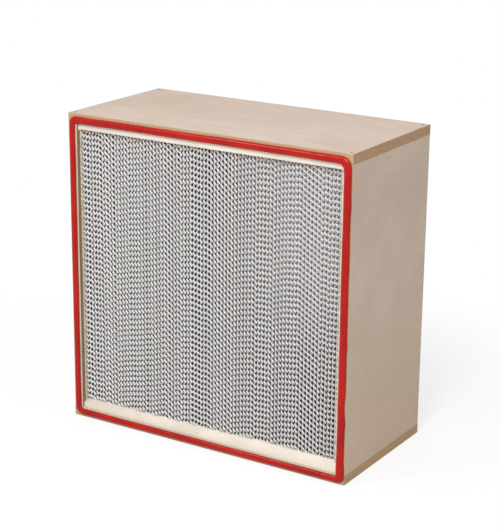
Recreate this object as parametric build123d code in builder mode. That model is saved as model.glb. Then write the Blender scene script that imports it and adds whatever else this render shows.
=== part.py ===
from build123d import *
from math import pi, sin
import os

# Deep-pleat air filter cell. X runs along the width, Y from the gasket face (low) to the rear face (high),
# Z up. The origin is the middle of the base, under the middle of the whole depth with its gasket.

# Frame of four boards
width = 610.0
height = 610.0
depth = 292.0
board = 19.0
edge_break = 0.8

# Gasket bead on the front edges of the boards, its middle line measured in from each outer side
gasket_width = 13.5
gasket_height = 6.5
gasket_from_left = 10.0
gasket_from_right = 9.0
gasket_from_top = 12.0
gasket_from_bottom = 10.5
gasket_corner = 10.0

# Sunk screws at the ends of the top and bottom boards
screw_length = 50.0
screw_shank = 4.0
screw_head = 7.0
screw_angle = 90.0
screw_tip = 5.0
screw_sunk = 0.6
screw_from_face = 11.0
screw_clearance = 0.1
slot_length = 4.2
slot_width = 0.9
slot_depth = 1.4

# Folded paper pack
paper = 0.4
fold_gap = 3.32
fold_bevel = 1.1
pack_recess = 12.0
separator_proud = 5.5
separator_sheet = 0.2
separator_play = 0.2

# Crimp of the separators: one long wave here stands for six of the real foil, to keep the faces few.
# Its crests rise and sink slowly from gap to gap by the sway, once to and fro in the given number of gaps.
crimp_pitch = 62.0
crimp_sway = 11.0
crimp_sway_gaps = 44.0

# Potting compound
top_potting = 11.8
bottom_potting = 13.6
end_potting_recess = 4.0
side_potting_left = 2.0
side_potting_right = 7.5
side_potting_recess = 9.0
potting_round = 1.5

# Places worked out from the sizes above
front_y = (gasket_height - depth) / 2
rear_y = front_y + depth
middle_y = (front_y + rear_y) / 2
inner_right = width / 2 - board
inner_left = -inner_right
inner_bottom = board
inner_top = height - board
pack_bottom = inner_bottom + bottom_potting
pack_top = inner_top - top_potting
panel_pitch = paper + fold_gap
pack_left = inner_left + side_potting_left
pack_room = inner_right - side_potting_right - pack_left
folds = int((pack_room + fold_gap) / (2 * panel_pitch))
panels = 2 * folds
pack_right = pack_left + panels * paper + (panels - 1) * fold_gap
edge_front = front_y + pack_recess
edge_rear = rear_y - pack_recess
paper_front = edge_front + separator_proud
paper_rear = edge_rear - separator_proud
screw_x = width / 2 - board / 2
screw_rows = [front_y + screw_from_face, rear_y - screw_from_face]
screw_spots = [(x, y) for x in (-screw_x, screw_x) for y in screw_rows]
head_height = (screw_head - screw_shank) / 2
pilot_depth = screw_length + screw_sunk - board

os.makedirs("parts", exist_ok=True)


# One countersunk screw, its head up at the origin and its shank down
with BuildPart() as screw:
    with BuildSketch(Plane.XZ):
        with BuildLine():
            Polyline(
                (0, 0),
                (screw_head / 2, 0),
                (screw_shank / 2, -head_height),
                (screw_shank / 2, screw_tip - screw_length),
                (0, -screw_length),
                close=True,
            )
        make_face()
    revolve(axis=Axis.Z)
    with BuildSketch(Plane.XY):
        Rectangle(slot_length, slot_width)
        Rectangle(slot_width, slot_length)
    extrude(amount=-slot_depth, mode=Mode.SUBTRACT)


# A cross board, written for the top: full width, bored for the screws at its ends
with BuildPart() as top_board:
    with BuildSketch(Plane.XY.offset(inner_top)):
        with Locations((0, middle_y)):
            Rectangle(width, depth)
    extrude(amount=board)
    chamfer(top_board.faces().sort_by(Axis.Z)[-1].edges(), edge_break)
    with Locations(*[(x, y, height - screw_sunk) for x, y in screw_spots]):
        CounterSinkHole(
            radius=screw_shank / 2 + screw_clearance,
            counter_sink_radius=screw_head / 2 + screw_clearance,
            counter_sink_angle=screw_angle,
        )
top_board.part.label = "top_board"

with BuildPart() as bottom_board:
    mirror(top_board.part, about=Plane.XY.offset(height / 2))
bottom_board.part.label = "bottom_board"

with BuildPart() as top_screws:
    with Locations(*[(x, y, height - screw_sunk) for x, y in screw_spots]):
        add(screw.part)
top_screws.part.label = "top_screws"

with BuildPart() as bottom_screws:
    mirror(top_screws.part, about=Plane.XY.offset(height / 2))
bottom_screws.part.label = "bottom_screws"


# A side board, written for the right: between the cross boards, with pilot holes in both ends
with BuildPart() as right_board:
    with BuildSketch(Plane.XY.offset(inner_bottom)):
        with Locations((screw_x, middle_y)):
            Rectangle(board, depth)
    extrude(amount=inner_top - inner_bottom)
    chamfer(right_board.faces().sort_by(Axis.X)[-1].edges().filter_by(Axis.Z), edge_break)
    for end, inward in ((inner_top, -1), (inner_bottom, 1)):
        with BuildSketch(Plane.XY.offset(end)):
            with Locations(*[(screw_x, y) for y in screw_rows]):
                Circle(screw_shank / 2 + screw_clearance)
        extrude(amount=inward * (pilot_depth + screw_clearance), mode=Mode.SUBTRACT)
right_board.part.label = "right_board"

with BuildPart() as left_board:
    mirror(right_board.part, about=Plane.YZ)
left_board.part.label = "left_board"


# The gasket: a half-round section drawn once round the front edges, with rounded corners
bead_left = gasket_from_left - width / 2
bead_right = width / 2 - gasket_from_right
bead_top = height - gasket_from_top
with BuildPart() as gasket:
    with BuildLine(Plane.XZ.offset(-front_y)) as bead:
        FilletPolyline(
            (bead_left, gasket_from_bottom),
            (bead_right, gasket_from_bottom),
            (bead_right, bead_top),
            (bead_left, bead_top),
            close=True,
            radius=gasket_corner,
        )
    along = bead.line % 0
    across = Vector(0, -1, 0).cross(along)
    with BuildSketch(Plane(origin=bead.line @ 0, x_dir=across, z_dir=along)):
        with BuildLine():
            ThreePointArc((-gasket_width / 2, 0), (0, gasket_height), (gasket_width / 2, 0))
            Line((gasket_width / 2, 0), (-gasket_width / 2, 0))
        make_face()
    sweep()
gasket.part.label = "gasket"


# The paper: one sheet folded to and fro, drawn as its section and raised between the pottings
def panel_x(number):
    """Left and right face of one upright panel of the paper."""
    left = pack_left + number * panel_pitch
    return left, left + paper


def fold(left, right, y, bevel, inward):
    """Four points round a flat fold from left to right; inward is the way to its legs along Y."""
    step = inward * bevel
    return [(left, y + step), (left + bevel, y), (right - bevel, y), (right, y + step)]


inner_bevel = fold_bevel - paper / 2
front_line = [(pack_left, paper_front)]
rear_line = []
for number in range(0, panels, 2):
    outer_left, inner_left_face = panel_x(number)
    inner_right_face, outer_right = panel_x(number + 1)
    front_line += [(inner_left_face, paper_front)] if number == 0 else []
    front_line += fold(inner_left_face, inner_right_face, paper_rear - paper, inner_bevel, -1)
    rear_line += fold(outer_left, outer_right, paper_rear, fold_bevel, -1)
    if number + 2 < panels:
        next_left, next_right = panel_x(number + 2)
        front_line += fold(inner_right_face, next_right, paper_front, fold_bevel, 1)
        rear_line += fold(outer_right, next_left, paper_front + paper, inner_bevel, 1)
    else:
        front_line += [(inner_right_face, paper_front), (outer_right, paper_front)]

with BuildPart() as media:
    with BuildSketch(Plane.XY.offset(pack_bottom)):
        with BuildLine():
            Polyline(*front_line, *reversed(rear_line), close=True)
        make_face()
    extrude(amount=pack_top - pack_bottom)
media.part.label = "media"


# The separators: one crimped foil sheet upright in each gap, its crests just clear of both panels
crimp_swing = (fold_gap - separator_sheet) / 2 - separator_play


def gap_middle(number):
    """Middle of the gap to the right of one panel."""
    return panel_x(number)[1] + fold_gap / 2


def crimp_section(number):
    """Section of one sheet, up its left side and down its right side, as points along X and Z."""
    first_crest = crimp_pitch / 4 + crimp_sway * sin(2 * pi * number / crimp_sway_gaps)
    crests = int((pack_top - pack_bottom - first_crest) / (crimp_pitch / 2)) + 1
    levels = [pack_bottom + first_crest + crest * crimp_pitch / 2 for crest in range(crests)]
    middle_line = []
    for level in (pack_bottom, *levels, pack_top):
        turn = (level - pack_bottom - first_crest) / crimp_pitch % 1
        middle_line.append((gap_middle(number) + crimp_swing * (4 * abs(turn - 0.5) - 1), level))
    half_sheet = separator_sheet / 2
    left_side = [(x - half_sheet, level) for x, level in middle_line]
    right_side = [(x + half_sheet, level) for x, level in middle_line]
    return [*left_side, *reversed(right_side)]


def foil_sheets(gaps, y_from, y_to):
    """One sheet in each of the numbered gaps, over the whole height of the paper."""
    face_plane = Plane.XZ.offset(-y_to)
    sheets = [
        extrude(face_plane * make_face(Polyline(*crimp_section(gap), close=True)), amount=y_to - y_from)
        for gap in gaps
    ]
    return Part() + sheets


front_separators = foil_sheets(range(0, panels - 1, 2), edge_front, paper_rear - paper - inner_bevel)
front_separators.label = "front_separators"
rear_separators = foil_sheets(range(1, panels - 1, 2), paper_front + paper + inner_bevel, edge_rear)
rear_separators.label = "rear_separators"


# Potting at the top and bottom ends of the folds, with its outer lips rounded
with BuildPart() as top_sealant:
    with BuildSketch(Plane.XY.offset(pack_top)):
        with Locations((0, middle_y)):
            Rectangle(inner_right - inner_left, depth - 2 * end_potting_recess)
    extrude(amount=top_potting)
    fillet(top_sealant.faces().sort_by(Axis.Z)[0].edges().filter_by(Axis.X), potting_round)
top_sealant.part.label = "top_sealant"

with BuildPart() as bottom_sealant:
    with BuildSketch(Plane.XY.offset(inner_bottom)):
        with Locations((0, middle_y)):
            Rectangle(inner_right - inner_left, depth - 2 * end_potting_recess)
    extrude(amount=bottom_potting)
    fillet(bottom_sealant.faces().sort_by(Axis.Z)[-1].edges().filter_by(Axis.X), potting_round)
bottom_sealant.part.label = "bottom_sealant"


# Potting down the sides, between the boards and the first and last panel
with BuildPart() as left_sealant:
    with BuildSketch(Plane.XY.offset(pack_bottom)):
        with Locations(((inner_left + pack_left) / 2, middle_y)):
            Rectangle(pack_left - inner_left, depth - 2 * side_potting_recess)
    extrude(amount=pack_top - pack_bottom)
    fillet(left_sealant.faces().sort_by(Axis.X)[-1].edges().filter_by(Axis.Z), potting_round)
left_sealant.part.label = "left_sealant"

with BuildPart() as right_sealant:
    with BuildSketch(Plane.XY.offset(pack_bottom)):
        with Locations(((inner_right + pack_right) / 2, middle_y)):
            Rectangle(inner_right - pack_right, depth - 2 * side_potting_recess)
    extrude(amount=pack_top - pack_bottom)
    fillet(right_sealant.faces().sort_by(Axis.X)[0].edges().filter_by(Axis.Z), potting_round)
right_sealant.part.label = "right_sealant"


for piece in (
    top_board.part,
    bottom_board.part,
    left_board.part,
    right_board.part,
    top_screws.part,
    bottom_screws.part,
    gasket.part,
    media.part,
    front_separators,
    rear_separators,
    top_sealant.part,
    bottom_sealant.part,
    left_sealant.part,
    right_sealant.part,
):
    export_step(piece, f"parts/{piece.label}.step")
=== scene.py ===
# %% [markdown]
# # A deep-pleat filter cell
# This is a box filter for a cleanroom: a wooden case, a pack of folded glass-fibre paper held open by
# crimped foil, cream potting that seals the pack into the case, and a red bead that seals the case into
# its frame. The boards and the screws come from the engineering model and get only their finishes here.
# The bead, the paper, the foil and the potting are modelled again, because their look lies in small
# unevenness that a plain solid doesn't have. They stay within the box of the engineering model.

# %% The frame
import math
import random

import bpy
import numpy as np
from mathutils import Matrix, Vector, noise


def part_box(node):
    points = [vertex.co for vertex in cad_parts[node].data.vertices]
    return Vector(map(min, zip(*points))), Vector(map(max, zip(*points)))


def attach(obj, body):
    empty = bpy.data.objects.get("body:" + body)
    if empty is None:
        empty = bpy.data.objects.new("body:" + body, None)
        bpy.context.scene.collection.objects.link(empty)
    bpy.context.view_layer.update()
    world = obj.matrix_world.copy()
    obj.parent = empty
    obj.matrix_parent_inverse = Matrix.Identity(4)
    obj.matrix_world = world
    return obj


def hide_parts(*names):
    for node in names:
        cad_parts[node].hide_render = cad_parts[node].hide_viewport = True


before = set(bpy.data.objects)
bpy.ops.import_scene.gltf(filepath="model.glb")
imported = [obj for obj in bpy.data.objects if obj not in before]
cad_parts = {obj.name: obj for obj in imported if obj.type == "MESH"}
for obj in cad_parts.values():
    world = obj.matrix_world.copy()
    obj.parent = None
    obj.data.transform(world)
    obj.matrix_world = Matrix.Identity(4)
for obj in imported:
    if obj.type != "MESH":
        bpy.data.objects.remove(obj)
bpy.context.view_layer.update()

# %% [markdown]
# All places are worked out from the boxes of the solid pieces, so the new pieces fit whatever size they
# have. MM turns millimetres into Blender's metres. X runs along the width, Z is up, and the bead is on
# the front, the side with the lower Y.

# %% Places in the case
MM = 0.001
BODY = "root"
case_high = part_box("top_board")[1]
case_low = Vector((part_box("top_board")[0].x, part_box("top_board")[0].y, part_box("bottom_board")[0].z))
inner_left, inner_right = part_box("left_board")[1].x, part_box("right_board")[0].x
paper_low, paper_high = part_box("media")
front_foil_low, front_foil_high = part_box("front_separators")
rear_foil_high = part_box("rear_separators")[1]
bead_low, bead_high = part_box("gasket")
print("paper pack, in millimetres:", [round(side * 1000, 1) for side in paper_high - paper_low])

# %% [markdown]
# ## Helpers for modelling
# Every operator acts on what is selected, and the loaded solids start out selected, so each piece begins
# by letting go of everything. A lofted skin starts as a flat grid: its columns are stations along the
# piece and its rows go round the section. Moving each vertex to its place on the real piece turns the
# grid into a tube, and merging the seam closes it.

# %% Modelling helpers
def let_go():
    """Leaves edit mode and deselects everything."""
    if bpy.context.object and bpy.context.object.mode != "OBJECT":
        bpy.ops.object.mode_set(mode="OBJECT")
    bpy.ops.object.select_all(action="DESELECT")


def grid_of_points(columns, rows):
    """Adds a flat grid with so many faces along both ways."""
    let_go()
    bpy.ops.mesh.primitive_grid_add(x_subdivisions=columns, y_subdivisions=rows, size=1)
    return bpy.context.object


def place_vertices(piece, points):
    """Moves every vertex of the piece to the place given for it."""
    piece.data.vertices.foreach_set("co", np.asarray(points, dtype=np.float32).ravel())
    piece.data.update()


def loft(stations, closed):
    """A closed skin through equal rings of points; closed joins the last ring to the first."""
    rings = list(stations) + ([stations[0]] if closed else [])
    around = len(rings[0])
    piece = grid_of_points(len(rings) - 1, around)
    points = [rings[column][row % around] for row in range(around + 1) for column in range(len(rings))]
    place_vertices(piece, points)
    bpy.ops.object.mode_set(mode="EDIT")
    bpy.ops.mesh.select_all(action="SELECT")
    bpy.ops.mesh.remove_doubles(threshold=0.01 * MM)
    if not closed:
        bpy.ops.mesh.select_all(action="DESELECT")
        bpy.ops.mesh.select_non_manifold()
        bpy.ops.mesh.fill_holes(sides=0)
    bpy.ops.mesh.select_all(action="SELECT")
    bpy.ops.mesh.normals_make_consistent(inside=False)
    bpy.ops.object.mode_set(mode="OBJECT")
    return piece


def wander(distance, seed, span):
    """A smooth random number from about -1 to 1 that changes over about one span; each seed has its own."""
    lane = seed * 7.31
    return noise.noise(Vector((distance / span, lane, 0.5))) * 1.6


def hand_over(piece, name, material, node, smooth_below):
    """Names and dresses a new piece, shades it smooth below an angle, and hides the solid it stands for."""
    piece.name = piece.data.name = name
    piece.data.materials.clear()
    piece.data.materials.append(material)
    let_go()
    piece.select_set(True)
    bpy.context.view_layer.objects.active = piece
    bpy.ops.object.shade_smooth_by_angle(angle=math.radians(smooth_below))
    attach(piece, BODY)
    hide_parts(node)
    print(name, "faces:", len(piece.data.polygons))


def dress(nodes, material):
    """Gives solids of the engineering model their finish and leaves their shape alone."""
    for node in nodes:
        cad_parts[node].data.materials.clear()
        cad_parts[node].data.materials.append(material)
    print(material.name, "on", ", ".join(nodes))

# %% [markdown]
# ## Helpers for finishes
# A finish is a node tree, and most of it is sums on masks and noise. A small class wraps a socket, so
# that the sums can be written as they would be on paper: an expression on two values adds the Math node
# for it.

# %% Shader maths
class Value:
    """A number that varies over a surface: the output socket of some node in a finish."""

    def __init__(self, finish, socket):
        self.finish = finish
        self.socket = socket

    def sum_with(self, operation, first, second):
        return self.finish.node("ShaderNodeMath", {"operation": operation}, {0: first, 1: second})[0]

    def __add__(self, other):
        return self.sum_with("ADD", self, other)

    __radd__ = __add__

    def __sub__(self, other):
        return self.sum_with("SUBTRACT", self, other)

    def __rsub__(self, other):
        return self.sum_with("SUBTRACT", other, self)

    def __mul__(self, other):
        return self.sum_with("MULTIPLY", self, other)

    __rmul__ = __mul__

    def __truediv__(self, other):
        return self.sum_with("DIVIDE", self, other)

    def __abs__(self):
        return self.sum_with("ABSOLUTE", self, 0)

    def larger(self, other):
        return self.sum_with("MAXIMUM", self, other)

    def step(self, low, high):
        """0 where this is below low, 1 above high, and smooth between them; low may be the larger."""
        settings = {"interpolation_type": "SMOOTHSTEP"}
        sockets = {0: self, 1: low, 2: high, 3: 0.0, 4: 1.0}
        return self.finish.node("ShaderNodeMapRange", settings, sockets)[0]


class Finish:
    """A material with its shader, and the one method that adds any node to it."""

    def __init__(self, name, **constants):
        self.material = bpy.data.materials.new(name)
        self.material.use_nodes = True
        self.tree = self.material.node_tree
        self.shader = self.tree.nodes["Principled BSDF"]
        for socket, value in constants.items():
            title = socket.replace("_", " ").title().replace("Ior", "IOR")
            self.shader.inputs[title].default_value = value
        self.place = self.node("ShaderNodeTexCoord")["Object"]

    def node(self, kind, settings=None, sockets=None):
        """Adds a node: its settings first, then the values or links of its sockets. Returns its outputs."""
        node = self.tree.nodes.new(kind)
        for setting, value in (settings or {}).items():
            setattr(node, setting, value)
        for socket, value in (sockets or {}).items():
            self.feed(node.inputs[socket], value)
        outputs = {socket.name: Value(self, socket) for socket in node.outputs if socket.enabled}
        outputs[0] = next(iter(outputs.values()))
        return outputs

    def feed(self, target, value):
        """Links a varying value to a socket, or sets a plain one."""
        if isinstance(value, Value):
            self.tree.links.new(value.socket, target)
        else:
            target.default_value = value

    def noise(self, scale, detail=2.0, place=None, roughness=0.5):
        """Soft random mottling; scale is the number of spots in a metre."""
        sockets = {"Vector": place or self.place, "Scale": scale, "Detail": detail,
                   "Roughness": roughness}
        return self.node("ShaderNodeTexNoise", None, sockets)[0]

    def stretched(self, x, y, z):
        """The place on the piece with each direction scaled, to draw a pattern out along another."""
        return self.node("ShaderNodeMapping", None, {"Vector": self.place, "Scale": (x, y, z)})[0]

    def axis(self, letter):
        """One coordinate of the place on the piece, in metres."""
        return self.node("ShaderNodeSeparateXYZ", None, {0: self.place})[letter]

    def mix(self, factor, first, second):
        """Between two colours; each is a colour or the output of another mix."""
        settings = {"data_type": "RGBA", "blend_type": "MIX"}
        return self.node("ShaderNodeMix", settings, {0: factor, 6: first, 7: second})["Result"]

    def bump(self, height, distance):
        """Relief in the shading alone; distance is how high a height of 1 stands."""
        sockets = {"Height": height, "Distance": distance, "Strength": 1.0}
        self.wear("Normal", self.node("ShaderNodeBump", None, sockets)[0])

    def wear(self, socket, value):
        """Feeds one of the shader's own sockets with what varies over the surface."""
        self.feed(self.shader.inputs[socket], value)


def colour(red, green, blue):
    """A shader colour from the 0 to 255 values that a paint chart gives."""
    def light(level):
        share = level / 255
        return share / 12.92 if share <= 0.04045 else ((share + 0.055) / 1.055) ** 2.4
    return (light(red), light(green), light(blue), 1.0)

# %% [markdown]
# ## Particle board
# The boards are raw particle board. Their faces are sanded, so they are an even pinkish grey with faint
# streaks. Their sawn edges are another matter: there the saw went through the chips, and they show as a
# warmer, darker brown with bits the size of rice grains. An image of wood could give this, but it would
# repeat and stretch at the corners. One finish made of noise holds both, and the place on the board tells
# which of the two it is. Inside the bead some potting was smeared over the boards' front edges, and the
# same finish has it.

# %% Particle board
SAWN_FROM, SAWN_FULL = 0.9 * MM, 0.3 * MM
WARM_BELOW = 420 * MM
SMEAR_INSET = 10.5 * MM
SMEAR_FADE = 1.2 * MM
SMEAR_RAGGED = 2 * MM
smear_x = bead_high.x - SMEAR_INSET
smear_top, smear_bottom = bead_high.z - SMEAR_INSET, bead_low.z + SMEAR_INSET


def smear_at(board, x, y, z):
    """1 where potting was smeared over the front edges, inside a ragged line under the bead."""
    spread = board.noise(160, 2) * SMEAR_RAGGED
    across = (x + spread).step(smear_x, smear_x - SMEAR_FADE)
    below_top = (z + spread).step(smear_top, smear_top - SMEAR_FADE)
    above_bottom = (z - spread).step(smear_bottom, smear_bottom + SMEAR_FADE)
    on_front = y.step(case_low.y + 0.5 * MM, case_low.y + 0.2 * MM)
    return across * below_top * above_bottom * on_front


def particle_board(name, cut_ends):
    """Sanded faces, and sawn edges at the front and rear and, where cut_ends says so, at both ends."""
    board = Finish(name, specular_ior_level=0.3)
    x, y, z = abs(board.axis("X")), board.axis("Y"), board.axis("Z")
    sawn = y.step(case_low.y + SAWN_FROM, case_low.y + SAWN_FULL)
    sawn = sawn.larger(y.step(case_high.y - SAWN_FROM, case_high.y - SAWN_FULL))
    if cut_ends:
        sawn = sawn.larger(x.step(case_high.x - SAWN_FROM, case_high.x - SAWN_FULL))
    cloud = board.noise(9, 3)
    streaks = board.noise(1, 3, board.stretched(14, 160, 160))
    grit = board.noise(1400, 2)
    chips = board.noise(420, 3, roughness=0.65)
    dark_bits = board.noise(700, 1).step(0.62, 0.72)
    layers = board.noise(1, 2, board.stretched(20, 260, 260))
    face = board.mix(cloud.step(0.3, 0.7), colour(206, 187, 171), colour(216, 198, 184))
    face = board.mix(streaks.step(0.35, 0.75) * 0.35, face, colour(190, 170, 153))
    face = board.mix(grit.step(0.5, 0.75) * 0.28, face, colour(176, 153, 134))
    edge = board.mix(chips.step(0.36, 0.66), colour(164, 129, 95), colour(196, 165, 131))
    edge = board.mix(layers.step(0.45, 0.7) * 0.3, edge, colour(186, 150, 116))
    edge = board.mix(dark_bits * 0.5, edge, colour(120, 86, 58))
    surface = board.mix(sawn, face, edge)
    if not cut_ends:
        low_down = z.step(WARM_BELOW, 0) * 0.4
        warm = board.mix(cloud, colour(196, 172, 146), colour(186, 160, 132))
        surface = board.mix(low_down + 0.15, surface, warm)
        # The inner faces of the side boards are bare board, painted a darker brown as painted shade of the
        # recess inside the bead.
        within = x.step(inner_right + 0.4 * MM, inner_right + 0.1 * MM)
        bare_board_and_shade = board.mix(chips, colour(118, 96, 70), colour(150, 126, 96))
        surface = board.mix(within, surface, bare_board_and_shade)
    surface = board.mix(smear_at(board, x, y, z), surface, colour(204, 190, 170))
    board.wear("Base Color", surface)
    board.wear("Roughness", 0.72 + grit * 0.12)
    board.bump(grit * 0.35 + chips * sawn * 1.4 + streaks * 0.5, 0.25 * MM)
    return board.material


dress(("top_board", "bottom_board"), particle_board("particle_board_with_cut_ends", True))
dress(("left_board", "right_board"), particle_board("particle_board", False))

# %% [markdown]
# ## Red bead
# The gasket is poured as a liquid from a nozzle that runs once round the case, so it is a half-round bead
# that is never quite even: its width and height drift, its sides wander a little, and where the nozzle
# stopped at the lower right corner there is a lump. A curve with a bevel would be too perfect. The bead
# is lofted through half-round rings instead, each with its own width, height and sideways drift.

# %% Bead route
BEAD_STEP = 4 * MM
BEAD_CORNERS = {"bottom_right": 8 * MM, "top_right": 13 * MM, "top_left": 9 * MM,
                "bottom_left": 12 * MM}
BEAD_HALF = 6.75 * MM
bead_left, bead_right = bead_low.x + BEAD_HALF, bead_high.x - BEAD_HALF
bead_bottom, bead_top = bead_low.z + BEAD_HALF, bead_high.z - BEAD_HALF


def bead_route():
    """Points round the middle line, from the lower right corner upwards, each with the outward way."""
    corners = [
        (bead_right, bead_bottom, BEAD_CORNERS["bottom_right"], -90),
        (bead_right, bead_top, BEAD_CORNERS["top_right"], 0),
        (bead_left, bead_top, BEAD_CORNERS["top_left"], 90),
        (bead_left, bead_bottom, BEAD_CORNERS["bottom_left"], 180),
    ]
    route = []
    for index, (x, z, radius, start) in enumerate(corners):
        centre_z = z - math.copysign(radius, z - case_high.z / 2)
        centre = Vector((x - math.copysign(radius, x), 0, centre_z))
        steps = max(4, round(radius * math.pi / 2 / (BEAD_STEP / 2)))
        for step in range(steps + 1):
            angle = math.radians(start + 90 * step / steps)
            outward = Vector((math.cos(angle), 0, math.sin(angle)))
            route.append((centre + outward * radius, outward))
        next_x, next_z, next_radius, _ = corners[(index + 1) % 4]
        along = Vector((-outward.z, 0, outward.x))
        straight = abs(next_x - x) + abs(next_z - z) - radius - next_radius
        parts = round(straight / BEAD_STEP)
        last = route[-1][0]
        route += [(last + along * straight * part / parts, outward) for part in range(1, parts)]
    return route


route = bead_route()
print("places along the bead:", len(route))

# %% [markdown]
# Each ring is a half circle that pulls in again at its foot, because the liquid stood up a little before
# it set. The rings take their half width from the side of the case that they are on, and a lump swells or
# pushes the rings near it.

# %% Bead sections
BEAD_ROUND = 14
BEAD_UNDERCUT = 32
# Half widths on each side of the case
BEAD_SIDES = {"right": 7.3 * MM, "top": 6.9 * MM, "left": 6.3 * MM, "bottom": 6.1 * MM}
BEAD_HEIGHT = 6.1 * MM
BEAD_LIFT = 0.05 * MM
# Each lump: X, Z, reach, swelling as a share, and push outward
BEAD_LUMPS = [
    (case_high.x - 13 * MM, case_high.z - 16 * MM, 12 * MM, 0.16, -1.6 * MM),
    (case_high.x - 9 * MM, 22 * MM, 13 * MM, 0.22, 1.1 * MM),
    (case_high.x - 10 * MM, 118 * MM, 9 * MM, 0.10, 0.7 * MM),
    (case_high.x - 10 * MM, 150 * MM, 14 * MM, -0.06, -0.7 * MM),
    (case_high.x - 10 * MM, 265 * MM, 12 * MM, 0.07, 0.5 * MM),
    (case_high.x - 10 * MM, 520 * MM, 16 * MM, 0.08, 0.6 * MM),
    (-case_high.x + 60 * MM, case_high.z - 12 * MM, 18 * MM, -0.05, -0.3 * MM),
]


def bead_ring(point, outward, distance):
    """A half-round ring of points across the bead at one place of its route."""
    right, top = max(outward.x, 0) ** 2, max(outward.z, 0) ** 2
    left, bottom = max(-outward.x, 0) ** 2, max(-outward.z, 0) ** 2
    half = sum(share * side for share, side in zip((right, top, left, bottom), BEAD_SIDES.values()))
    half *= 1 + 0.035 * wander(distance, 1, 70 * MM) + 0.02 * wander(distance, 2, 18 * MM)
    drift = 0.35 * MM * wander(distance, 3, 60 * MM)
    height = BEAD_HEIGHT * (1 + 0.03 * wander(distance, 4, 90 * MM))
    for x, z, reach, swelling, push in BEAD_LUMPS:
        near = math.exp(-((point - Vector((x, 0, z))).length / reach) ** 2)
        half *= 1 + swelling * near
        drift += push * near
        height *= 1 + 0.5 * max(swelling, 0) * near
    height = min(height, bead_high.y - bead_low.y)
    runs_upright = abs(outward.x) > 0.9
    if runs_upright:
        half = min(half, (case_high.x - abs(point.x)) * 0.95)
    middle = point + outward * drift
    base = case_low.y - BEAD_LIFT
    sunk = math.sin(math.radians(BEAD_UNDERCUT))
    ring = []
    for step in range(BEAD_ROUND + 1):
        angle = math.radians(-BEAD_UNDERCUT + (180 + 2 * BEAD_UNDERCUT) * step / BEAD_ROUND)
        rise = (math.sin(angle) + sunk) / (1 + sunk) * (height - BEAD_LIFT)
        ring.append(middle + outward * half * math.cos(angle) + Vector((0, base - rise, 0)))
    for corner in ring:
        corner.x = min(max(corner.x, -case_high.x), case_high.x)
    return [*ring, middle + Vector((0, base, 0))]


distance, rings, last_point = 0, [], route[0][0]
for point, outward in route:
    distance += (point - last_point).length
    last_point = point
    rings.append(bead_ring(point, outward, distance))
bead = loft(rings, closed=True)
print("bead length, in millimetres:", round(distance / MM))

# %% [markdown]
# The rubber is a deep red with a sharp shine. It could be one flat colour, but a poured skin has a faint
# ripple that breaks the shine, and that is in the finish. Next to the board the red is painted dark, as
# painted shade in the crevice under the bead's foot.

# %% Red rubber
FOOT_FROM, FOOT_FULL = 2.4 * MM, 0.2 * MM


def red_rubber():
    """Glossy saturated red with painted shade at its foot, and the faint ripple of a poured bead."""
    rubber = Finish("red_rubber", specular_ior_level=0.2)
    cloud = rubber.noise(18, 3)
    ripple = rubber.noise(95, 2)
    pores = rubber.noise(1500, 1)
    red = rubber.mix(cloud.step(0.3, 0.7), colour(156, 12, 4), colour(172, 20, 8))
    # Painted shade: the red turns dark within a few millimetres of the board.
    painted_shade_at_foot = rubber.axis("Y").step(case_low.y - FOOT_FROM, case_low.y - FOOT_FULL)
    rubber.wear("Base Color", rubber.mix(painted_shade_at_foot * 0.85, red, colour(62, 6, 4)))
    rubber.wear("Roughness", 0.17 + cloud * 0.08)
    rubber.bump(ripple + pores * 0.06, 0.5 * MM)
    return rubber.material


hand_over(bead, "sealing_bead", red_rubber(), "gasket", 50)

# %% [markdown]
# ## Folded paper
# The filter itself is one long sheet of glass-fibre paper, folded to and fro from board to board. It
# could be an array of one fold, but the real thing is a single sheet, so its path is drawn once through
# every fold, and a Solidify modifier gives it its thickness. At each end of a fold the sheet turns in a
# blunt nose, because a separator holds its two walls apart right up to the turn.

# %% Pack layout
FOLDS = 76
PAPER_SHEET = 0.4 * MM
panels = 2 * FOLDS
panel_pitch = (paper_high.x - paper_low.x - PAPER_SHEET) / (panels - 1)
fold_gap = panel_pitch - PAPER_SHEET
fold_pitch = 2 * panel_pitch
print("fold pitch, in millimetres:", round(fold_pitch / MM, 2))


def panel_middle(number):
    """The X of the middle of a panel of paper, counted from the left."""
    return paper_low.x + PAPER_SHEET / 2 + number * panel_pitch


# %% Folded sheet
NOSE_REACH = 8 * MM
NOSE_DEPTHS = (NOSE_REACH, 5 * MM, 2.5 * MM, 1.2 * MM, 0.5 * MM, 0.15 * MM)
NOSE_BLUNTNESS = 0.35
nose_front, nose_rear = paper_low.y, paper_high.y


def nose(left, tip_y, inward):
    """Points round one fold, from the panel on its left to the next; inward is the way to the legs."""
    half = panel_pitch / 2
    flank = [(half * (depth / NOSE_REACH) ** NOSE_BLUNTNESS, tip_y + inward * depth)
             for depth in NOSE_DEPTHS]
    middle = left + half
    left_side = [(middle - out, y) for out, y in flank]
    right_side = [(middle + out, y) for out, y in reversed(flank)]
    return [*left_side, (middle, tip_y), *right_side]


path = [(panel_middle(0), nose_front)]
for number in range(panels - 1):
    rearward = number % 2 == 0
    path += nose(panel_middle(number), nose_rear if rearward else nose_front, -1 if rearward else 1)
path.append((panel_middle(panels - 1), nose_front))
paper = grid_of_points(len(path) - 1, 1)
place_vertices(paper, [(x, y, z) for z in (paper_low.z, paper_high.z) for x, y in path])
sheet = paper.modifiers.new("sheet", "SOLIDIFY")
sheet.thickness = PAPER_SHEET
sheet.offset = 0
bpy.ops.object.modifier_apply(modifier=sheet.name)
print("panels of paper:", panels, "points along the folded sheet:", len(path))

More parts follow.
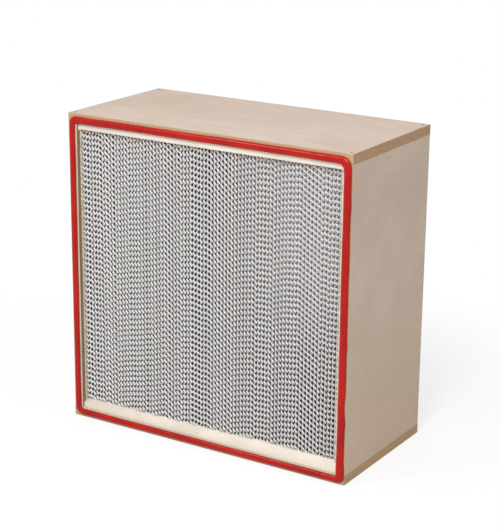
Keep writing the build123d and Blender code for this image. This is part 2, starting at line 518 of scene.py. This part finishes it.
# %% [markdown]
# ## Crimped foil
# Each separator is a strip of aluminium foil crimped into waves about 10.5 mm long and as high as the gap
# between two folds of paper. It could be a bump in a material, but the dark hollows between the waves are
# what the eye sees first, so the waves are real. A strip starts flat, with a folded hem along its outer
# edge, and is lofted as on the crimping machine: in steps up the pack. The wave then moves its vertices
# sideways.

# %% Flat strip with its hem
WAVE = 10.5 * MM
FOIL_HALF = 0.06 * MM
HEM_HALF = 0.26 * MM
HEM_END = 6.5 * MM
FLARE_END = 14 * MM
strip_bottom, strip_top = front_foil_low.z, front_foil_high.z


def flat_strip(hem_y, end_y, steps):
    """A straight upright strip at X 0 with a rounded hem at hem_y, and with so many steps in a wave."""
    inward = math.copysign(1, end_y - hem_y)
    side = [(HEM_HALF, hem_y + inward * HEM_HALF), (FOIL_HALF, hem_y + inward * HEM_END),
            (FOIL_HALF, hem_y + inward * FLARE_END), (FOIL_HALF, end_y)]
    ring = [(0, hem_y), *side, *((-x, y) for x, y in reversed(side))]
    levels = np.linspace(strip_bottom, strip_top, round((strip_top - strip_bottom) / WAVE * steps) + 1)
    return loft([[Vector((x, y, level)) for x, y in ring] for level in levels], closed=False)


# %% [markdown]
# In front of the paper nothing holds the strip, so the wave is wider there: it flares towards the hem.
# The hems don't stand in one plane either. At the upper right of the pack they are more level and lie a
# little deeper.

# %% Crimped strips
FLARE = 1.5 * MM
FOIL_PLAY = 0.12 * MM
SET_BACK = 1.0 * MM
LEVEL_BACK = 0.6 * MM
DRIFT_SPAN = 180 * MM
DRIFT_SHARE = 0.05
wave_height = fold_gap / 2 - HEM_HALF - FOIL_PLAY


def evenness(x, level):
    """0 at the left and low down, where the strips stand proud, and 1 at the upper right."""
    across = (x - paper_low.x) / (paper_high.x - paper_low.x)
    up = (level - strip_bottom) / (strip_top - strip_bottom)
    return np.clip(1.5 * across - 0.75, 0, 1) * np.clip(1.6 * up - 0.3, 0, 1)


def crimp(flat, middle_x, start, set_back, hem_y, end_y):
    """A copy of the flat strip, crimped about middle_x; start is the part of a wave it begins with."""
    strip = flat.copy()
    strip.data = flat.data.copy()
    bpy.context.scene.collection.objects.link(strip)
    points = np.empty(len(strip.data.vertices) * 3, dtype=np.float32)
    strip.data.vertices.foreach_get("co", points)
    points = points.reshape(-1, 3)
    drift = np.array([wander(level, middle_x * 100, DRIFT_SPAN) for level in points[:, 2]])
    depth = np.clip(abs(points[:, 1] - hem_y) / FLARE_END, 0, 1)
    swing = wave_height + FLARE * (1 - depth)
    hem_share = np.clip(1 - abs(points[:, 1] - hem_y) / HEM_END, 0, 1)
    back = set_back + LEVEL_BACK * evenness(middle_x, points[:, 2])
    points[:, 1] += math.copysign(1, end_y - hem_y) * back * hem_share
    turns = points[:, 2] / WAVE + start + DRIFT_SHARE * drift
    points[:, 0] += middle_x + swing * np.sin(2 * np.pi * turns)
    place_vertices(strip, points)
    return strip


# %% [markdown]
# The strips were pushed in by hand, so each has its own start of the wave. From the front that makes the
# rows of waves drift and jump from one strip to the next. Chance alone gives a restless pattern without
# the long slants of a real pack, so the strips come in runs: in each run the rows climb or fall by about
# the same amount.

# %% Rows of waves
# Each run: how many strips, and how much of a wave each stands above the one on its left
FRONT_RUNS = [(5, 0.0), (4, 0.42), (1, -0.3), (15, 0.12), (3, 0.42), (5, 0.1), (5, -0.1), (7, 0.35),
              (7, 0.22), (12, 0.1), (6, 0.55), (6, 0.0)]
REAR_RUNS = [(20, 0.1), (15, 0.3), (25, 0.0), (15, 0.4)]
UNEVEN = 0.12


def row_starts(runs, dice):
    """The part of a wave that each strip begins with, drifting from run to run."""
    start, starts = dice.random(), []
    for count, rise in runs:
        for _ in range(count):
            starts.append(start)
            start -= rise + dice.gauss(0, UNEVEN)
    return starts


def foil_pack(names, middles, runs, steps, hem_y, end_y, seed):
    """Strips at the given places, each set back a little by chance, joined in as many pieces as names."""
    dice = random.Random(seed)
    flat = flat_strip(hem_y, end_y, steps)
    strips = [crimp(flat, middle_x, start, dice.random() ** 2 * SET_BACK, hem_y, end_y)
              for middle_x, start in zip(middles, row_starts(runs, dice))]
    bpy.data.objects.remove(flat)
    share = math.ceil(len(strips) / len(names))
    packs = {}
    for number, name in enumerate(names):
        let_go()
        for strip in strips[number * share:(number + 1) * share]:
            strip.select_set(True)
            bpy.context.view_layer.objects.active = strip
        bpy.ops.object.join()
        packs[name] = bpy.context.object
    print("foil strips:", len(strips), "in pieces:", len(packs))
    return packs


# %% Both sides of the pack
gaps = [panel_middle(number) + panel_pitch / 2 for number in range(panels - 1)]
front_names = ["front_foil_left", "front_foil_middle", "front_foil_right"]
front_packs = foil_pack(front_names, gaps[0::2], FRONT_RUNS, steps=6, hem_y=front_foil_low.y,
                        end_y=nose_rear - NOSE_REACH, seed=5)
rear_names = ["rear_foil_left", "rear_foil_right"]
rear_packs = foil_pack(rear_names, gaps[1::2], REAR_RUNS, steps=4, hem_y=rear_foil_high.y,
                       end_y=nose_front + NOSE_REACH, seed=9)

# %% [markdown]
# The foil is bright and the paper is matt white, yet a real pack looks dark between the waves, since
# little light comes back out of the folds. Between clean modelled surfaces the light bounces on and fills
# the hollows. So both finishes darken with depth, and less so at the upper right, where the strips are
# level and less of the depth shows.

# %% Foil and paper finishes
CALM_ACROSS = (0, 280 * MM)
CALM_UP = (120 * MM, 420 * MM)
CALM_SHARE = 0.8


def calm_at(finish):
    """0 at the left and low down on the pack, 1 at the upper right, where less of its depth shows."""
    return finish.axis("X").step(*CALM_ACROSS) * finish.axis("Z").step(*CALM_UP)


def hollow_at(finish, calm, near, far):
    """0 at both faces of the pack and 1 deeper than far behind them, but less where the pack is calm."""
    middle = (front_foil_low.y + rear_foil_high.y) / 2
    depth = (rear_foil_high.y - middle) - abs(finish.axis("Y") - middle)
    return depth.step(near, far) * (1 - CALM_SHARE * calm)


def bright_foil():
    """Rolled aluminium foil: bright, a little milky from the crimping rollers, each strip its own shade."""
    foil = Finish("bright_foil", metallic=0.1)
    fold = foil.node("ShaderNodeMath", {"operation": "FLOOR"}, {0: foil.axis("X") / fold_pitch})[0]
    strip = foil.node("ShaderNodeTexWhiteNoise", {"noise_dimensions": "1D"}, {"W": fold})["Value"]
    crush = foil.noise(260, 2)
    hollow = hollow_at(foil, calm_at(foil), 3.0 * MM, 6.5 * MM)
    bright = foil.mix(strip, colour(250, 248, 249), colour(255, 253, 253))
    foil.wear("Base Color", foil.mix(hollow, bright, colour(98, 93, 91)))
    foil.wear("Roughness", 0.15 + crush * 0.1)
    foil.bump(crush, 0.12 * MM)
    return foil.material


def glass_paper():
    """Matt white glass-fibre paper with a felted surface."""
    fibre = Finish("glass_paper", specular_ior_level=0.15)
    felt = fibre.noise(900, 3)
    calm = calm_at(fibre)
    white = fibre.mix(felt, colour(206, 202, 199), colour(219, 215, 212))
    # At the upper right the paper is painted grey: painted shade on the recessed fold noses there.
    white = fibre.mix(calm, white, colour(182, 178, 176))
    hollow = hollow_at(fibre, calm, 5.5 * MM, 7.5 * MM)
    fibre.wear("Base Color", fibre.mix(hollow, white, colour(64, 60, 58)))
    fibre.wear("Roughness", 0.9 + felt * 0.08)
    fibre.bump(felt, 0.1 * MM)
    return fibre.material


# %% Finished pack
hand_over(paper, "folded_paper", glass_paper(), "media", 40)
foil_finish = bright_foil()
for packs, node in ((front_packs, "front_separators"), (rear_packs, "rear_separators")):
    for name, pack in packs.items():
        hand_over(pack, name, foil_finish, node, 60)

# %% [markdown]
# ## Potting
# The ends of the folds stand in a cream casting compound, poured while the case lay on each of its sides.
# A box would look too clean: the lower bar slopes up to the right and to the pack, and the compound crept
# up between the folds before it set. So each bar is lofted along the board it lies on, ring by ring. Down
# the sides the compound is rough and mottled, and it has more grain in its colour.

# %% Cream potting
def cream_potting(name, roughness):
    """Cast cream compound with faint flow ripples; a roughness of 1 mottles it with dull grains."""
    potting = Finish(name, specular_ior_level=0.35)
    cloud = potting.noise(12, 3)
    ripple = potting.noise(1, 2, potting.stretched(25, 25, 300))
    cream = potting.mix(cloud.step(0.3, 0.7), colour(212, 202, 187), colour(224, 215, 201))
    grains = potting.noise(330, 3)
    cream = potting.mix(grains.step(0.35, 0.65) * roughness, cream, colour(150, 138, 118))
    potting.wear("Base Color", cream)
    potting.wear("Roughness", 0.5 + ripple * 0.15)
    potting.bump(ripple, 0.4 * MM)
    return potting.material


# %% Rings of the bars
LEFT_RISE, RIGHT_RISE = 0.4 * MM, 5.4 * MM
LIP = 1.2 * MM
CORNER_REACH, CORNER_RISE = 9 * MM, 3 * MM
SIDE_UNEVEN = 0.5 * MM


def across_bar(x, low_y, high_y, floor_z, heights):
    """A ring over a bar at one X: heights are pairs of a depth from either face and a height."""
    front = [Vector((x, low_y + depth, floor_z + height)) for depth, height in heights]
    rear = [Vector((x, high_y - depth, floor_z + height)) for depth, height in reversed(heights)]
    return front + rear


def bottom_ring(x, fold_share, wick):
    """The lower bar: thicker to the right, with a ledge before the pack and compound drawn up in it."""
    low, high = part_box("bottom_sealant")
    across = (x - low.x) / (high.x - low.x)
    thick = high.z - low.z + LEFT_RISE + (RIGHT_RISE - LEFT_RISE) * across ** 1.6
    thick += 0.35 * MM * wander(x, 21, 60 * MM)
    at_pack = front_foil_low.y - low.y
    heights = [(0, 0), (0, thick * 0.5), (0.8 * MM, thick * 0.66), (at_pack * 0.5, thick * 0.78),
               (at_pack, thick * 0.93), (at_pack + 2.5 * MM, thick + wick * fold_share),
               (at_pack + 9 * MM, thick + wick)]
    return across_bar(x, low.y, high.y, low.z, heights)


def top_ring(x):
    """The upper bar, with a clean rounded lip along its lower edge and a fillet in both corners."""
    low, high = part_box("top_sealant")
    thick = high.z - low.z + 0.3 * MM * wander(x, 22, 90 * MM)
    near_corner = max(1 - (high.x - x) / CORNER_REACH, 0) + max(1 - (x - low.x) / CORNER_REACH, 0)
    thick += CORNER_RISE * near_corner ** 2
    heights = [(0, 0), (0, LIP - thick), (0.3 * LIP, 0.3 * LIP - thick), (LIP, -thick)]
    return across_bar(x, low.y, high.y, high.z, heights)


def side_ring(node, level):
    """A bar down one side, which slopes in from the board to the first fold with an uneven face."""
    low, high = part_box(node)
    board_x, pack_x = (low.x, high.x) if high.x < 0 else (high.x, low.x)
    uneven = SIDE_UNEVEN * wander(level, 23 + board_x * 10, 9 * MM)
    between_x = board_x * 0.6 + pack_x * 0.4
    edge = [(board_x, 0), (between_x, 1.1 * MM + uneven), (pack_x, 1.7 * MM + uneven)]
    front = [Vector((x, low.y + depth, level)) for x, depth in edge]
    rear = [Vector((x, high.y - depth, level)) for x, depth in reversed(edge)]
    return front + rear


# %% Potting bars
WICK = 2.6 * MM
SIDE_RINGS = 240
dice = random.Random(31)
across_steps = np.linspace(inner_left, inner_right, 4 * FOLDS + 1)
bottom_rings = []
for number, x in enumerate(across_steps):
    wick = (0.25 + dice.random()) * WICK if number % 2 else 0.3 * WICK * dice.random()
    bottom_rings.append(bottom_ring(x, dice.uniform(0.2, 0.8), wick))
bar_rings = {"bottom_sealant": bottom_rings, "top_sealant": [top_ring(x) for x in across_steps[::2]]}
for node in ("left_sealant", "right_sealant"):
    low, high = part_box(node)
    bar_rings[node] = [side_ring(node, level) for level in np.linspace(low.z, high.z, SIDE_RINGS)]
smooth_cream, rough_cream = cream_potting("cream_potting", 0.0), cream_potting("rough_potting", 1.0)
for node, rings in bar_rings.items():
    cream = rough_cream if node in ("left_sealant", "right_sealant") else smooth_cream
    hand_over(loft(rings, closed=False), node.replace("sealant", "potting"), cream, node, 35)

# %% [markdown]
# ## Screws
# The case is held by zinc-plated chipboard screws, sunk a little below the board. Only their heads show,
# so they keep the shape of the engineering model and get a dull, dirty metal.

# %% Screws
def dull_steel():
    """Zinc-plated steel, dull and dusty."""
    steel = Finish("dull_steel", metallic=1.0)
    dirt = steel.noise(900, 2)
    steel.wear("Base Color", steel.mix(dirt, colour(92, 86, 76), colour(148, 142, 132)))
    steel.wear("Roughness", 0.4 + dirt * 0.25)
    return steel.material


dress(("top_screws", "bottom_screws"), dull_steel())

# %% [markdown]
# ## Stage, lamps and camera
# The case stands on a white floor under a pale sky. A plain white floor would turn grey away from the
# lamps, and its far edge would show against the sky. So the camera and the reflections see a floor that
# glows white by itself, while all other light falls on plain matt grey. Near the case the glow is a
# little weaker, so that the soft shadow of the case still shows.

# %% Stage
FLOOR_SIZE = 40
GLOW_NEAR, GLOW_FULL = 0.4, 1.0
GLOW_LEAST = 0.72
let_go()
bpy.ops.mesh.primitive_plane_add(size=FLOOR_SIZE)
floor = bpy.context.object
floor.name = "floor"
floor_finish = Finish("white_floor", roughness=0.9)
light_path = floor_finish.node("ShaderNodeLightPath")
seen = light_path["Is Camera Ray"].larger(light_path["Is Glossy Ray"])
glow = floor_finish.node("ShaderNodeEmission", None, {"Color": (1, 1, 1, 1), "Strength": 1.0})
length = {"operation": "LENGTH"}
reach = floor_finish.node("ShaderNodeVectorMath", length, {0: floor_finish.place})["Value"]
floor_finish.wear("Base Color", floor_finish.mix(seen, (0.75, 0.75, 0.75, 1), (1, 1, 1, 1)))
glow_share = seen * (GLOW_LEAST + (1 - GLOW_LEAST) * reach.step(GLOW_NEAR, GLOW_FULL))
matt = Value(floor_finish, floor_finish.shader.outputs[0])
lit = floor_finish.node("ShaderNodeMixShader", None, {0: glow_share, 1: matt, 2: glow[0]})[0]
floor_finish.feed(floor_finish.tree.nodes["Material Output"].inputs["Surface"], lit)
floor.data.materials.append(floor_finish.material)
print("floor, in metres:", FLOOR_SIZE)

# %% [markdown]
# The sky is white to the camera and in reflections, and weaker as a source of light, so the background is
# pure white without washing out the shaded side. A broad key lamp stands high in front of the case, a
# little to its right, and models the waves of the foil. A small one at the left adds sharp glints to the
# bead.

# %% Sky and lamps
SKY_LIGHT = 0.57
world = bpy.data.worlds.new("pale_sky")
bpy.context.scene.world = world
world.use_nodes = True
sky = world.node_tree
background = sky.nodes["Background"]
background.inputs["Color"].default_value = (1, 1, 1, 1)
light_path = sky.nodes.new("ShaderNodeLightPath")
strength = sky.nodes.new("ShaderNodeMapRange")
strength.inputs["To Min"].default_value = SKY_LIGHT
strength.inputs["To Max"].default_value = 1.0
direct = sky.nodes.new("ShaderNodeMath")
direct.operation = "MAXIMUM"
sky.links.new(light_path.outputs["Is Camera Ray"], direct.inputs[0])
sky.links.new(light_path.outputs["Is Glossy Ray"], direct.inputs[1])
sky.links.new(direct.outputs[0], strength.inputs["Value"])
sky.links.new(strength.outputs["Result"], background.inputs["Strength"])


def soft_lamp(name, place, size, power):
    """A square area lamp that looks at the middle of the case."""
    lamp = bpy.data.objects.new(name, bpy.data.lights.new(name, "AREA"))
    lamp.data.shape, lamp.data.size, lamp.data.energy = "SQUARE", size, power
    bpy.context.scene.collection.objects.link(lamp)
    lamp.location = place
    middle = Vector((0, 0, case_high.z / 2))
    lamp.rotation_euler = (middle - Vector(place)).to_track_quat("-Z", "Y").to_euler()
    print(name, "in watts:", power)


soft_lamp("key_lamp", (0.75, -2.35, 2.25), 0.9, 60)
soft_lamp("left_lamp", (-1.4, -2.3, 2.0), 0.22, 17)

# %% [markdown]
# The camera's place was fitted to the seven corners of the case that the photograph shows. It stands
# about three metres off, to the right of the case and a little above it, and leans by half a degree.

# %% Camera
AZIMUTH, ELEVATION, ROLL = 32.13, 17.12, 0.56
CAMERA_DISTANCE = 3.041
FOCAL_PIXELS, FRAME_HEIGHT = 1598.2, 530
SENSOR = 36
aim = Vector((9.3 * MM, 3.25 * MM, 326.7 * MM))
azimuth, elevation = math.radians(AZIMUTH), math.radians(ELEVATION)
back = Vector((math.sin(azimuth) * math.cos(elevation), -math.cos(azimuth) * math.cos(elevation),
               math.sin(elevation)))
camera = bpy.data.objects.new("camera", bpy.data.cameras.new("camera"))
bpy.context.scene.collection.objects.link(camera)
camera.data.sensor_width = SENSOR
camera.data.lens = SENSOR * FOCAL_PIXELS / FRAME_HEIGHT
camera.matrix_world = (Matrix.Translation(aim + back * CAMERA_DISTANCE)
                       @ back.to_track_quat("Z", "Y").to_matrix().to_4x4()
                       @ Matrix.Rotation(math.radians(ROLL), 4, "Z"))
bpy.context.scene.camera = camera
bpy.context.scene.view_settings.view_transform = "Standard"
print("lens, in millimetres:", round(camera.data.lens, 1))
